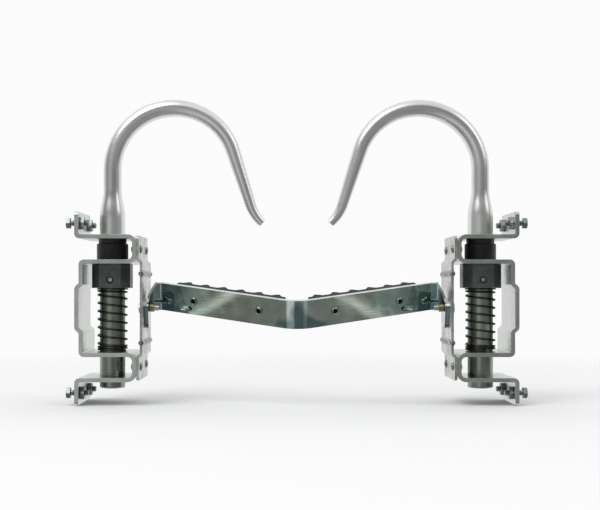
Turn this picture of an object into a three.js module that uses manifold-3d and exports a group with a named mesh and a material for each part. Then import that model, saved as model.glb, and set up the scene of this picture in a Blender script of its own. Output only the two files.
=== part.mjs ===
// Head for the top of an extension ladder: two spring-loaded cable hooks and a hinged V-rung between them.
// Millimetres. X runs from rail to rail, Y away from the climber and Z up. The origin lies midway between
// the rails, level with the V-rung's pivots and in the plane of the two hook shafts.
// Each side is drawn in its own frame, where x grows outwards to the rail, and the left side is mirrored.

import * as THREE from "three";
import { mergeVertices } from "three/addons/utils/BufferGeometryUtils.js";
import Module from "manifold-3d";

const wasm = await Module();
wasm.setup();

// ---- driving dimensions ----

const gap = 0.1; // between faces that rest on each other
const fit = 0.3; // round a shank or a shaft in its hole
const inch = 25.4;

const railGap = 13.5 * inch; // clear width between the rails
const railFace = railGap / 2;
const railWeb = 4.5; // thickness of the rail wall that the tab bolts clamp

const stripThick = 3.2; // bracket
const stripDepth = 57.2;
const tightBend = 2.4; // bend radii, to the middle of the strip
const boxBend = 5.4;
const tabTop = 74.5; // heights above the pivot, mirrored below it
const outerPlate = 55.4; // middles of the two plates of each box
const innerPlate = 36;
const boxWall = 125.3; // middle of the wall that closes each box
const offsetWall = 166.5; // middle of the wall that stands off the rail
const joggleTop = 18.5;
const joggleBottom = 15.5;
const cornerRound = 3;

const bridgeThick = 2; // bridge plate
const bridgeHalfHeight = 56;
const bridgeSet = 2.7; // how far its middle is set inwards
const barrelHeight = 26.7; // heights of the two barrels along its face
const barrelRadius = 2.1;
const barrelBore = 1;
const crossPinRadius = 0.9;
const crossPinHead = 1.2;

const shaftAxis = 146; // distance of the hook shafts from the middle
const shaftRadius = 10;
const shaftBottom = -63.5;
const hookSeat = 52; // where hook and shaft meet, inside the bushing
const spigotRadius = 6;
const spigotLength = 22;
const archFoot = 109.5; // height where the hook starts to bend
const archRadius = 49;
const archTurn = 162;
const tipRun = 45; // straight run after the arch
const tipBend = 34; // radius of the tip's outward curve
const tipTurn = 30;
const shoulderHeight = 72; // the hook is as thick as its shaft up to here, then tapers to its neck
const neckHeight = 93;
const neckWidth = 14; // diameters along the hook
const crownWidth = 13.5;
const archEndWidth = 11.6;
const runEndWidth = 8.8;
const tipWidth = 6.6;

const bushingRadius = 12.4; // upper bushing
const bushingNeck = 11;

const blockTop = 34.2; // lock block
const blockBottom = 15.6;
const blockHalf = 15;
const blockChamfer = 6.5;
const screwHeight = 22; // its set screw
const screwRadius = 2;
const counterboreRadius = 3;
const counterboreDepth = 2;
const slotWidth = 0.7;

const washerThick = 1.2;
const wire = 1.6; // return spring
const coilRadius = 11.2;
const activeTurns = 6.5;
const bottomTurns = 2.2; // close-wound turns at each end
const topTurns = 0.8;
const closedPitch = 1.75;
const springTurns = bottomTurns + activeTurns + topTurns;
const stepsPerTurn = 11;

const boltRadius = 2.4; // tab bolts
const boltHeight = 66;
const boltSide = 18;
const nutFlats = 9.5;
const nutThick = 3.3;
const boltFlats = 8;
const boltHeadThick = 3.2;

const rivetHeight = 45.7; // bridge rivets
const rivetSide = 18.5;
const rivetRadius = 2.3;
const rivetHollow = 1.7;

const pivotY = -10; // V-rung pivot
const pivotRadius = 2.2;
const pivotEnd = 107.5;
const collarRadius = 3.1;
const collarLength = 4;
const pivotFlats = 7.9;

const rungThick = 3.2; // V-rung, drawn level and with its pivot at the origin
const rungTop = 17.6;
const rungBottom = -4.6;
const rungTilt = 17; // its apex hangs this many degrees below the pivot
const rungPanel = 10.5; // y of the short panel at each end
const armEnd = 106;
const armAngle = 25;
const apexBend = 27;
const endBend = 7;
const tabFront = -9; // tab at each end, which hangs on the pivot
const tabTopEdge = 6.2;
const tabBottom = -15;
const slopeStart = 109.3; // x where the top edge starts to fall towards the tab
const slopeTurn = 35; // direction of its fall, in degrees from X towards the front
const slopeFall = 1.42; // how far it falls for each millimetre along that direction

const padStart = 12.4; // rubber pads, measured along the arm from the virtual apex
const padLength = 92.6;
const padBase = 4.5;
const ribHeight = 3.8;
const ribCount = 6;
const ribShare = 0.68; // share of the pitch taken by the foot of a rib
const padBottom = -4;
const padRivets = [31, 88];
const padRivetRadius = 2.3;
const washerSeat = 3; // depth of rubber left under the rivets' backs

const coarse = 8; // sides of round bodies: fasteners, small parts, and the hook column
const medium = 14;
const fine = 24;

const radians = THREE.MathUtils.degToRad;

// ---- materials ----

function metal(color, roughness) {
  return new THREE.MeshStandardMaterial({ color, roughness, metalness: 1 });
}

const aluminium = metal(0xb9bdb6, 0.42);
const polished = metal(0xc9cccd, 0.28);
const shaftSteel = metal(0x72766a, 0.45);
const zinc = metal(0xaebbc0, 0.25);
const yellowZinc = metal(0x8f8160, 0.35);
const blackSteel = metal(0x1b1c1d, 0.4);
const blackOxide = new THREE.MeshStandardMaterial({ color: 0x232425, roughness: 0.6, metalness: 0.3 });
const rubber = new THREE.MeshStandardMaterial({ color: 0x1a1b1c, roughness: 0.85, metalness: 0 });

// ---- solids ----

function solidOf(geometry) {
  const bare = geometry.clone();
  bare.deleteAttribute("normal");
  bare.deleteAttribute("uv");
  const merged = mergeVertices(bare, 1e-4);
  return new wasm.Manifold(
    new wasm.Mesh({
      numProp: 3,
      vertProperties: merged.attributes.position.array,
      triVerts: new Uint32Array(merged.index.array),
    }),
  );
}

function geometryOf(solid) {
  const mesh = solid.getMesh();
  const geometry = new THREE.BufferGeometry();
  geometry.setAttribute("position", new THREE.BufferAttribute(mesh.vertProperties, 3));
  geometry.setIndex(new THREE.BufferAttribute(mesh.triVerts, 1));
  return geometry;
}

function cut(base, tools) {
  return geometryOf(tools.reduce((solid, tool) => solid.subtract(solidOf(tool)), solidOf(base)));
}

function join(parts) {
  return geometryOf(parts.map(solidOf).reduce((whole, part) => whole.add(part)));
}

function common(a, b) {
  return geometryOf(solidOf(a).intersect(solidOf(b)));
}

// Turns a shape drawn about the Y axis so that its length runs along another axis.
function layAlong(geometry, axis) {
  if (axis === "x") return geometry.rotateZ(-Math.PI / 2);
  if (axis === "z") return geometry.rotateX(Math.PI / 2);
  return geometry;
}

// A round bar from one end to the other along an axis through the given point.
function bar(radius, axis, from, to, at = [0, 0, 0], sides = medium) {
  const geometry = layAlong(new THREE.CylinderGeometry(radius, radius, to - from, sides), axis);
  const middle = (from + to) / 2;
  const place = new THREE.Vector3(...at);
  place[axis] = middle;
  return geometry.translate(place.x, place.y, place.z);
}

function hexBar(flats, axis, from, to, at) {
  return bar(flats / Math.sqrt(3), axis, from, to, at, 6);
}

// A body turned about an axis: its profile is a list of [radius, place along the axis].
function turned(profile, axis, at = [0, 0, 0], sides = coarse) {
  const points = profile.map(([radius, along]) => new THREE.Vector2(radius, along));
  const geometry = new THREE.LatheGeometry(points, sides);
  if (axis === "z") geometry.rotateX(Math.PI / 2);
  if (axis === "x") geometry.rotateZ(-Math.PI / 2);
  return geometry.translate(...at);
}

// A ring about the Z axis.
function ring(inner, outer, bottom, top) {
  const profile = [
    [inner, bottom],
    [outer, bottom],
    [outer, top],
    [inner, top],
    [inner, bottom],
  ];
  return turned(profile, "z", [0, 0, 0], fine);
}

// The side view of a bent strip. Each corner is [x, y, bend radius to the strip's middle].
function stripShape(corners, thick, arcSteps = 3) {
  const points = corners.map(([x, y]) => new THREE.Vector2(x, y));
  const left = [];
  const right = [];
  const normalOf = (a, b) => new THREE.Vector2(a.y - b.y, b.x - a.x).normalize();
  const put = (point, normal) => {
    left.push(point.clone().addScaledVector(normal, thick / 2));
    right.push(point.clone().addScaledVector(normal, -thick / 2));
  };
  put(points[0], normalOf(points[0], points[1]));
  for (let i = 1; i < points.length - 1; i++) {
    const before = normalOf(points[i - 1], points[i]);
    const after = normalOf(points[i], points[i + 1]);
    const turn = Math.atan2(before.cross(after), before.dot(after));
    const radius = Math.sign(turn) * corners[i][2];
    const inward = before.clone().add(after).normalize();
    const centre = points[i].clone().addScaledVector(inward, radius / Math.cos(turn / 2));
    for (let k = 0; k <= arcSteps; k++) {
      const normal = before.clone().rotateAround(new THREE.Vector2(), (turn * k) / arcSteps);
      put(centre.clone().addScaledVector(normal, -radius), normal);
    }
  }
  put(points.at(-1), normalOf(points.at(-2), points.at(-1)));
  return new THREE.Shape([...left, ...right.reverse()]);
}

// A shape drawn as (x, z) and extruded along Y, with its middle at the origin.
function prismAlongY(shape, depth) {
  const geometry = new THREE.ExtrudeGeometry(shape, { depth, bevelEnabled: false });
  return geometry.rotateX(Math.PI / 2).translate(0, depth / 2, 0);
}

// A shape drawn as (y, z) and extruded along X between two places.
function prismAlongX(shape, from, to) {
  const options = { depth: to - from, bevelEnabled: false, curveSegments: 2 };
  const geometry = new THREE.ExtrudeGeometry(shape, options);
  return geometry.rotateX(Math.PI / 2).rotateZ(Math.PI / 2).translate(from, 0, 0);
}

function roundedRectangle(halfWidth, halfHeight, radius) {
  const shape = new THREE.Shape();
  shape.absarc(halfWidth - radius, halfHeight - radius, radius, 0, Math.PI / 2);
  shape.absarc(radius - halfWidth, halfHeight - radius, radius, Math.PI / 2, Math.PI);
  shape.absarc(radius - halfWidth, radius - halfHeight, radius, Math.PI, 1.5 * Math.PI);
  shape.absarc(halfWidth - radius, radius - halfHeight, radius, 1.5 * Math.PI, 2 * Math.PI);
  return shape;
}

// Takes a profile of the upper half and adds its mirror image below.
function mirroredBelow(corners) {
  const lower = corners.map(([x, z, radius]) => [x, -z, radius]);
  return [...corners, ...lower.reverse()];
}

// ---- bracket ----

function railBracket() {
  const railSide = railFace - stripThick / 2;
  const profile = mirroredBelow([
    [railSide, tabTop, 0],
    [railSide, outerPlate, tightBend],
    [boxWall, outerPlate, boxBend],
    [boxWall, innerPlate, boxBend],
    [offsetWall, innerPlate, tightBend],
    [offsetWall, joggleTop, tightBend],
    [railSide, joggleBottom, tightBend],
  ]);
  const folded = prismAlongY(stripShape(profile, stripThick), stripDepth);
  const outline = roundedRectangle(stripDepth / 2, tabTop, cornerRound);
  const trimmed = common(folded, prismAlongX(outline, shaftAxis - 40, shaftAxis + 40));
  const holes = [
    bar(shaftRadius + fit, "z", -tabTop, tabTop, [shaftAxis, 0, 0], fine),
    bar(bushingNeck + fit, "z", outerPlate - 4, outerPlate + 4, [shaftAxis, 0, 0], fine),
  ];
  for (const up of [1, -1]) {
    for (const side of [1, -1]) {
      const boltAt = [0, side * boltSide, up * boltHeight];
      const rivetAt = [0, side * rivetSide, up * rivetHeight];
      holes.push(bar(boltRadius + fit, "x", railFace - 8, railFace + 8, boltAt, coarse));
      holes.push(bar(rivetRadius + fit, "x", boxWall - 4, boxWall + 4, rivetAt, coarse));
    }
  }
  return cut(trimmed, holes);
}

// Middles of the bridge plate where it lies on the boxes and where it spans between them.
const bridgeOuter = boxWall - stripThick / 2 - gap - bridgeThick / 2;
const bridgeInner = bridgeOuter - bridgeSet;

function bridgePlate() {
  const profile = mirroredBelow([
    [bridgeOuter, bridgeHalfHeight, 0],
    [bridgeOuter, innerPlate + 2, 2],
    [bridgeInner, innerPlate - 0.7, 2],
  ]);
  const folded = prismAlongY(stripShape(profile, bridgeThick), stripDepth);
  const outline = roundedRectangle(stripDepth / 2, bridgeHalfHeight, cornerRound);
  const trimmed = common(folded, prismAlongX(outline, bridgeInner - 10, bridgeOuter + 10));
  const barrels = [];
  const holes = [bar(pivotRadius + fit, "x", bridgeInner - 4, bridgeInner + 4, [0, pivotY, 0])];
  for (const up of [1, -1]) {
    const barrelAt = [bridgeInner, 0, up * barrelHeight];
    barrels.push(bar(barrelRadius, "y", -stripDepth / 2, stripDepth / 2, barrelAt));
    holes.push(bar(barrelBore, "y", -stripDepth, stripDepth, barrelAt, coarse));
    for (const side of [1, -1]) {
      const rivetAt = [0, side * rivetSide, up * rivetHeight];
      holes.push(bar(rivetRadius + fit, "x", bridgeOuter - 4, bridgeOuter + 4, rivetAt, coarse));
    }
  }
  return cut(join([trimmed, ...barrels]), holes);
}

// Semi-tubular rivet from the bridge plate, where its end is rolled open, into the box, where its head is.
function bridgeRivet() {
  const start = bridgeOuter - bridgeThick / 2 - gap;
  const end = boxWall + stripThick / 2 + gap;
  const profile = [
    [0, start + 2],
    [rivetHollow, start + 2],
    [rivetHollow, start - 1.2],
    [2.7, start - 1.2],
    [3.1, start],
    [rivetRadius, start],
    [rivetRadius, end],
    [3, end],
    [2.2, end + 1.5],
    [0, end + 2],
  ];
  return turned(profile, "x");
}

function crossPin() {
  const half = stripDepth / 2 + gap;
  const profile = [
    [0, -half - crossPinHead],
    [barrelRadius - 0.4, -half - crossPinHead],
    [barrelRadius, -half],
    [crossPinRadius, -half],
    [crossPinRadius, half],
    [barrelRadius, half],
    [barrelRadius - 0.4, half + crossPinHead],
    [0, half + crossPinHead],
  ];
  return turned(profile, "y");
}

// ---- fasteners of the tabs ----

function tabBolt() {
  const headStart = railFace + railWeb + gap;
  const nutEnd = railFace - stripThick - gap - nutThick;
  return join([
    hexBar(boltFlats, "x", headStart, headStart + boltHeadThick),
    bar(boltRadius, "x", nutEnd - 3, headStart + 1, [0, 0, 0], coarse),
  ]);
}

function tabNut() {
  const end = railFace - stripThick - gap;
  const body = hexBar(nutFlats, "x", end - nutThick, end);
  return cut(body, [bar(boltRadius + gap, "x", end - nutThick - 1, end + 1, [0, 0, 0], coarse)]);
}

// ---- hook, shaft and what is on it (about the shaft's own axis) ----

// Middle line of the hook, as (x, z), from the foot of its spigot to the tip.
function hookLine() {
  const line = new THREE.Path();
  const turn = radians(archTurn);
  const lean = Math.PI - turn;
  line.moveTo(0, hookSeat - spigotLength);
  line.lineTo(0, archFoot);
  line.absarc(-archRadius, archFoot, archRadius, 0, turn);
  const end = new THREE.Vector2(-Math.sin(lean), -Math.cos(lean));
  end.multiplyScalar(tipRun).add(line.currentPoint);
  line.lineTo(end.x, end.y);
  const centre = new THREE.Vector2(-Math.cos(lean), Math.sin(lean)).multiplyScalar(tipBend).add(end);
  line.absarc(centre.x, centre.y, tipBend, -lean, -lean - radians(tipTurn), true);
  return line;
}

// Diameters of the hook at places measured along its middle line.
function hookStations(line) {
  const lengths = line.getCurveLengths();
  const seat = spigotLength + gap;
  const foot = hookSeat - spigotLength;
  const taper = [0, 0.25, 0.5, 0.75, 1].map((share) => [
    THREE.MathUtils.lerp(shoulderHeight, neckHeight, share) - foot,
    THREE.MathUtils.lerp(2 * shaftRadius, neckWidth, THREE.MathUtils.smoothstep(share, 0, 1)),
  ]);
  return [
    [0, 2 * spigotRadius],
    [seat, 2 * spigotRadius],
    [seat, 2 * shaftRadius],
    ...taper,
    [lengths[0], neckWidth],
    [(lengths[0] + lengths[1]) / 2, crownWidth],
    [lengths[1], archEndWidth],
    [lengths[2], runEndWidth],
    [lengths[3], tipWidth],
  ];
}

// A round bar of changing diameter along the hook's middle line.
function hook() {
  const line = hookLine();
  const total = line.getLength();
  const rings = [];
  const stations = hookStations(line);
  stations.forEach(([place, diameter], i) => {
    rings.push([place, diameter]);
    if (i + 1 === stations.length) return;
    const [nextPlace, nextDiameter] = stations[i + 1];
    const bent = place >= line.getCurveLengths()[0] - 1;
    const steps = bent ? Math.ceil((nextPlace - place) / 8) : 1;
    for (let k = 1; k < steps; k++) {
      const { lerp } = THREE.MathUtils;
      rings.push([lerp(place, nextPlace, k / steps), lerp(diameter, nextDiameter, k / steps)]);
    }
  });
  const geometry = new THREE.CylinderGeometry(1, 1, 1, medium, rings.length - 1);
  const position = geometry.attributes.position;
  for (let i = 0; i < position.count; i++) {
    const [place, diameter] = rings[Math.round((0.5 + position.getY(i)) * (rings.length - 1))];
    const along = Math.min(place / total, 1);
    const centre = line.getPointAt(along);
    const tangent = line.getTangentAt(along);
    const sideways = (position.getX(i) * diameter) / 2;
    const depth = (-position.getZ(i) * diameter) / 2;
    position.setXYZ(i, centre.x + tangent.y * sideways, depth, centre.y - tangent.x * sideways);
  }
  return geometry;
}

function hookShaft() {
  const profile = [
    [0, shaftBottom],
    [shaftRadius - 1, shaftBottom],
    [shaftRadius, shaftBottom + 1],
    [shaftRadius, hookSeat],
    [spigotRadius + gap, hookSeat],
    [spigotRadius + gap, hookSeat - spigotLength - gap],
    [0, hookSeat - spigotLength - gap],
  ];
  return turned(profile, "z", [0, 0, 0], fine);
}

function upperBushing() {
  const bottom = innerPlate + stripThick / 2 + gap;
  const shoulder = outerPlate - stripThick / 2 - 3.2;
  const neckTop = outerPlate + stripThick / 2 + 0.6;
  const bore = shaftRadius + 0.2;
  const profile = [
    [bore, bottom],
    [bushingRadius, bottom],
    [bushingRadius, shoulder],
    [bushingNeck, shoulder],
    [bushingNeck, neckTop],
    [bore, neckTop],
    [bore, bottom],
  ];
  return turned(profile, "z", [0, 0, 0], fine);
}

// A square block with chamfered corners, counterbored at the front for its set screw.
function lockBlock() {
  const flat = blockHalf - blockChamfer;
  const outline = [1, -1].flatMap((side) => [
    new THREE.Vector2(side * blockHalf, -side * flat),
    new THREE.Vector2(side * blockHalf, side * flat),
    new THREE.Vector2(side * flat, side * blockHalf),
    new THREE.Vector2(-side * flat, side * blockHalf),
  ]);
  const depth = blockTop - blockBottom;
  const block = new THREE.ExtrudeGeometry(new THREE.Shape(outline), { depth, bevelEnabled: false });
  block.translate(0, 0, blockBottom);
  const screwAt = [0, 0, screwHeight];
  return cut(block, [
    bar(shaftRadius + 0.2, "z", blockBottom - 1, blockTop + 1, [0, 0, 0], fine),
    bar(screwRadius + 0.2, "y", -blockHalf - 1, 0, screwAt),
    bar(counterboreRadius, "y", -blockHalf - 1, counterboreDepth - blockHalf, screwAt),
  ]);
}

// Set screw with a cross slot, standing one millimetre back from the block's face.
function setScrew() {
  const front = 1 - blockHalf;
  const body = bar(screwRadius, "y", front, -shaftRadius - 0.2, [0, 0, screwHeight]);
  const slot = new THREE.BoxGeometry(slotWidth, 2, 1.5 * screwRadius).translate(0, front, screwHeight);
  const crossing = new THREE.BoxGeometry(1.5 * screwRadius, 2, slotWidth).translate(0, front, screwHeight);
  return cut(body, [slot, crossing]);
}

function thrustWasher() {
  const outer = coilRadius + wire / 2 + 0.3;
  return ring(shaftRadius + fit, outer, blockBottom - gap - washerThick, blockBottom - gap);
}

// Compression spring with close-wound turns at both ends; its start is an angle in degrees.
class SpringLine extends THREE.Curve {
  constructor(hand, start, bottom, top) {
    super();
    this.hand = hand;
    this.start = radians(start);
    this.bottom = bottom;
    this.pitch = (top - bottom - (bottomTurns + topTurns) * closedPitch) / activeTurns;
  }

  getPoint(t, target = new THREE.Vector3()) {
    const turn = t * springTurns;
    const open = THREE.MathUtils.clamp(turn - bottomTurns, 0, activeTurns);
    const angle = this.start + 2 * Math.PI * turn * this.hand;
    const height = this.bottom + open * this.pitch + (turn - open) * closedPitch;
    return target.set(coilRadius * Math.cos(angle), coilRadius * Math.sin(angle), height);
  }
}

function returnSpring(hand, start) {
  const bottom = -innerPlate + stripThick / 2 + gap + wire / 2;
  const top = blockBottom - 2 * gap - washerThick - wire / 2;
  const section = new THREE.Shape().absarc(0, 0, wire / 2, 0, 2 * Math.PI);
  return new THREE.ExtrudeGeometry(section, {
    steps: Math.round(stepsPerTurn * springTurns),
    curveSegments: 3,
    extrudePath: new SpringLine(hand, start, bottom, top),
  });
}

// ---- V-rung ----

function pivotPin() {
  const headStart = bridgeInner + bridgeThick / 2 + gap;
  return join([
    hexBar(pivotFlats, "x", headStart, headStart + 2.8),
    bar(pivotRadius, "x", pivotEnd, headStart + 1),
  ]);
}

// x of the inner face of the V-rung's end tab, which lies against the bridge plate.
const tabInner = bridgeInner - bridgeThick / 2 - gap - rungThick;
const rungApex = rungPanel - armEnd * Math.tan(radians(armAngle));
const rungMiddle = (rungTop + rungBottom) / 2;

function pivotCollar() {
  const end = tabInner - gap;
  const body = bar(collarRadius, "x", end - collarLength, end);
  return cut(body, [bar(pivotRadius + gap, "x", end - collarLength - 1, end + 1)]);
}

// Plan of the bent strip that makes both arms and both end tabs.
function rungPlan() {
  const tabMiddle = tabInner + rungThick / 2;
  const half = [
    [tabMiddle, tabFront - 1, 0],
    [tabMiddle, rungPanel, endBend],
    [armEnd, rungPanel, 8],
  ];
  const mirrored = half.map(([x, y, radius]) => [-x, y, radius]).reverse();
  return stripShape([...half, [0, rungApex, apexBend], ...mirrored], rungThick, 4);
}

// Side view of an end tab with its bend, as (y, z).
function tabOutline() {
  const bendStart = rungPanel - endBend;
  const back = rungPanel + rungThick;
  const shape = new THREE.Shape();
  shape.moveTo(back, rungTop);
  shape.lineTo(bendStart, rungTop);
  shape.lineTo(bendStart, tabTopEdge);
  shape.absarc(tabFront + 6, tabTopEdge - 6, 6, Math.PI / 2, Math.PI);
  shape.absarc(tabFront + 5, tabBottom + 5, 5, Math.PI, 1.5 * Math.PI);
  shape.absarc(bendStart - 3, tabBottom + 3, 3, 1.5 * Math.PI, 2 * Math.PI);
  shape.lineTo(bendStart, rungBottom);
  shape.lineTo(back, rungBottom);
  return shape;
}

// Cutter for the sloping top edge between an arm and its end tab.
function slopeCutter(side) {
  const reach = (rungTop - tabTopEdge) / slopeFall;
  const shape = new THREE.Shape([
    new THREE.Vector2(-5 * side, rungTop + 5 * slopeFall),
    new THREE.Vector2(reach * side, tabTopEdge),
    new THREE.Vector2(30 * side, tabTopEdge),
    new THREE.Vector2(30 * side, rungTop + 8),
    new THREE.Vector2(-5 * side, rungTop + 8),
  ]);
  const cutter = prismAlongY(shape, 60).rotateZ(radians(-side * slopeTurn));
  return cutter.translate(side * slopeStart, rungPanel - rungThick / 2, 0);
}

function vRung() {
  const tabEnd = tabInner + rungThick + 1;
  const strip = new THREE.ExtrudeGeometry(rungPlan(), { depth: rungTop - tabBottom, bevelEnabled: false });
  strip.translate(0, 0, tabBottom);
  const arms = new THREE.BoxGeometry(2 * tabInner - 1, 200, rungTop - rungBottom);
  arms.translate(0, 0, rungMiddle);
  const envelope = [arms];
  const cutters = [bar(pivotRadius + fit, "x", -tabEnd, tabEnd)];
  for (const side of [1, -1]) {
    const ends = [side * (tabInner - 1), side * tabEnd].sort((a, b) => a - b);
    envelope.push(prismAlongX(tabOutline(), ...ends));
    cutters.push(slopeCutter(side));
    for (const place of padRivets) {
      const hole = bar(padRivetRadius + fit, "y", -4, 4, [side * place, 0, rungMiddle], coarse);
      cutters.push(hole.rotateZ(side * radians(armAngle)).translate(0, rungApex, 0));
    }
  }
  return cut(common(strip, join(envelope)), cutters);
}

// Pad in the frame of its arm: x along the arm from the virtual apex, y out of its back face.
function rungPad() {
  const face = rungThick / 2 + fit;
  const pitch = padLength / ribCount;
  const foot = (ribShare * pitch) / 2;
  const points = [
    [padStart, face],
    [padStart + padLength, face],
    [padStart + padLength, face + padBase],
  ];
  for (let i = ribCount - 1; i >= 0; i--) {
    const middle = padStart + (i + 0.5) * pitch;
    for (const share of [1, 0.6, 0.2, -0.2, -0.6, -1]) {
      const height = (ribHeight * (1 + Math.cos(Math.PI * share))) / 2;
      points.push([middle + share * foot, face + padBase + height]);
    }
  }
  points.push([padStart, face + padBase]);
  const shape = new THREE.Shape(points.map(([x, y]) => new THREE.Vector2(x, y)));
  const pad = new THREE.ExtrudeGeometry(shape, { depth: rungTop - padBottom, bevelEnabled: false });
  pad.translate(0, 0, padBottom);
  const holes = padRivets.flatMap((place) => [
    bar(padRivetRadius + fit, "y", 0, 20, [place, 0, rungMiddle], coarse),
    bar(4.8, "y", face + washerSeat, 20, [place, 0, rungMiddle], coarse),
  ]);
  return cut(pad, holes);
}

// Blind rivet through arm and pad, with its hollow end on the front of the arm.
function padRivet() {
  const front = -rungThick / 2 - gap;
  const back = rungThick / 2 + fit + washerSeat + gap;
  const profile = [
    [0, front + 2],
    [rivetHollow, front + 2],
    [rivetHollow, front - 1.4],
    [2.6, front - 1.2],
    [3.2, front],
    [padRivetRadius, front],
    [padRivetRadius, back],
    [4.2, back],
    [3.6, back + 1.2],
    [0, back + 1.2],
  ];
  return turned(profile, "y");
}

// ---- assembly ----

function add(group, name, geometry, material, at = [0, 0, 0]) {
  const mesh = new THREE.Mesh(geometry, material);
  mesh.name = name;
  mesh.position.set(...at);
  group.add(mesh);
}

function sideAssembly(side, mirror, springStart) {
  const group = new THREE.Group();
  group.scale.x = mirror;
  add(group, `${side}_rail_bracket`, railBracket(), aluminium);
  add(group, `${side}_bridge_plate`, bridgePlate(), aluminium);
  for (const [level, up] of [["upper", 1], ["lower", -1]]) {
    add(group, `${side}_cross_pin_${level}`, crossPin(), zinc, [bridgeInner, 0, up * barrelHeight]);
    for (const [face, depth] of [["front", -1], ["back", 1]]) {
      const boltAt = [0, depth * boltSide, up * boltHeight];
      const rivetAt = [0, depth * rivetSide, up * rivetHeight];
      add(group, `${side}_tab_bolt_${level}_${face}`, tabBolt(), zinc, boltAt);
      add(group, `${side}_tab_nut_${level}_${face}`, tabNut(), zinc, boltAt);
      add(group, `${side}_bridge_rivet_${level}_${face}`, bridgeRivet(), zinc, rivetAt);
    }
  }
  add(group, `${side}_pivot_pin`, pivotPin(), zinc, [0, pivotY, 0]);
  add(group, `${side}_pivot_collar`, pivotCollar(), yellowZinc, [0, pivotY, 0]);

  const column = new THREE.Group();
  column.position.x = shaftAxis;
  add(column, `${side}_hook`, hook(), polished);
  add(column, `${side}_hook_shaft`, hookShaft(), shaftSteel);
  add(column, `${side}_upper_bushing`, upperBushing(), blackOxide);
  add(column, `${side}_lock_block`, lockBlock(), blackOxide);
  add(column, `${side}_set_screw`, setScrew(), zinc);
  add(column, `${side}_thrust_washer`, thrustWasher(), blackSteel);
  add(column, `${side}_return_spring`, returnSpring(-mirror, springStart), blackSteel);
  group.add(column);
  return group;
}

function rungAssembly() {
  const group = new THREE.Group();
  group.position.y = pivotY;
  group.rotation.x = radians(rungTilt);
  add(group, "v_rung", vRung(), zinc);
  for (const [side, mirror] of [["left", -1], ["right", 1]]) {
    const half = new THREE.Group();
    half.scale.x = mirror;
    const arm = new THREE.Group();
    arm.position.y = rungApex;
    arm.rotation.z = radians(armAngle);
    add(arm, `${side}_rung_pad`, rungPad(), rubber);
    add(arm, `${side}_pad_rivet_inner`, padRivet(), zinc, [padRivets[0], 0, rungMiddle]);
    add(arm, `${side}_pad_rivet_outer`, padRivet(), zinc, [padRivets[1], 0, rungMiddle]);
    half.add(arm);
    group.add(half);
  }
  return group;
}

const head = new THREE.Group();
head.add(sideAssembly("left", -1, 198), sideAssembly("right", 1, 283), rungAssembly());

export default head;
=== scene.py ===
"""Cable hook and V-rung head of an extension ladder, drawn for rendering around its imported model.

Pieces are drawn in millimetres and become metres when their meshes are made. Each side is drawn in its
own frame, where x grows outwards to the rail, and the left side is mirrored."""

import math

import bmesh
import bpy
from mathutils import Matrix, Vector

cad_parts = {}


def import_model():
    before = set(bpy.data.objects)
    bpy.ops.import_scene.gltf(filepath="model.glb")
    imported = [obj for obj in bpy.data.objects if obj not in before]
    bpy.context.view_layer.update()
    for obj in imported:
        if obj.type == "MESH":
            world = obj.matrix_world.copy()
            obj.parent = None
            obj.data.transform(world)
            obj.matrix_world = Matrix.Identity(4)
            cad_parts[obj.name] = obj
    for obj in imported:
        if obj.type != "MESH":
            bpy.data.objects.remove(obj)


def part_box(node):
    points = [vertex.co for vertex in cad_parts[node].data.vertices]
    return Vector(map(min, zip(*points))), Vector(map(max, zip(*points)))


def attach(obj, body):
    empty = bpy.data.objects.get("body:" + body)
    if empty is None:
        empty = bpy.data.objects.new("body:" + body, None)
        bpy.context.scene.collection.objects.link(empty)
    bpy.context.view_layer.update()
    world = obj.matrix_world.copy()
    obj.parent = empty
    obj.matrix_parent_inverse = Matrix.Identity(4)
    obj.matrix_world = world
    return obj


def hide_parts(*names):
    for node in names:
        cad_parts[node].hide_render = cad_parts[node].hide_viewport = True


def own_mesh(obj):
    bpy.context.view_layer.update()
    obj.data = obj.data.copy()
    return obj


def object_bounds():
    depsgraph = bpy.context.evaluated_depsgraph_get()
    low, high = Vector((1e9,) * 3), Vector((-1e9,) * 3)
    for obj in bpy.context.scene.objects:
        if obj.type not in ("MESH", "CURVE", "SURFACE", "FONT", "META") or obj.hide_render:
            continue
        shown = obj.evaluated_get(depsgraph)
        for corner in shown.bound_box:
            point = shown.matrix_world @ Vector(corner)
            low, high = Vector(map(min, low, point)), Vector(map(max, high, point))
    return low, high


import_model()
cad_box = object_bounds()

MM = 0.001
SIDES = {"left": -1, "right": 1}
LEVELS = ("upper", "lower")
FACES = ("front", "back")


# ---- camera ----

CAMERA_PLACE = (-0.0091, -0.924, 0.0156)


def make_camera():
    """A level camera in front of the head."""
    data = bpy.data.cameras.new("camera")
    data.sensor_width = 36
    data.lens = 69.8
    data.shift_x = 0.025
    data.shift_y = 0.055
    data.clip_end = 50
    camera = bpy.data.objects.new("camera", data)
    camera.location = CAMERA_PLACE
    camera.rotation_euler = (math.pi / 2, 0, 0)
    bpy.context.scene.collection.objects.link(camera)
    bpy.context.scene.camera = camera


make_camera()


# ---- sizes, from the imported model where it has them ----


def span(node, side=1):
    """Lowest and highest corner of a CAD node in millimetres, in its own side's frame."""
    low, high = (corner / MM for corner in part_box(node))
    if side < 0:
        return Vector((-high.x, low.y, low.z)), Vector((-low.x, high.y, high.z))
    return low, high


_, BRACKET_HIGH = span("right_rail_bracket")
_, PLATE_HIGH = span("right_bridge_plate")
SHAFT_LOW, SHAFT_HIGH = span("right_hook_shaft")
BLOCK_LOW, BLOCK_HIGH = span("right_lock_block")

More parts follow.
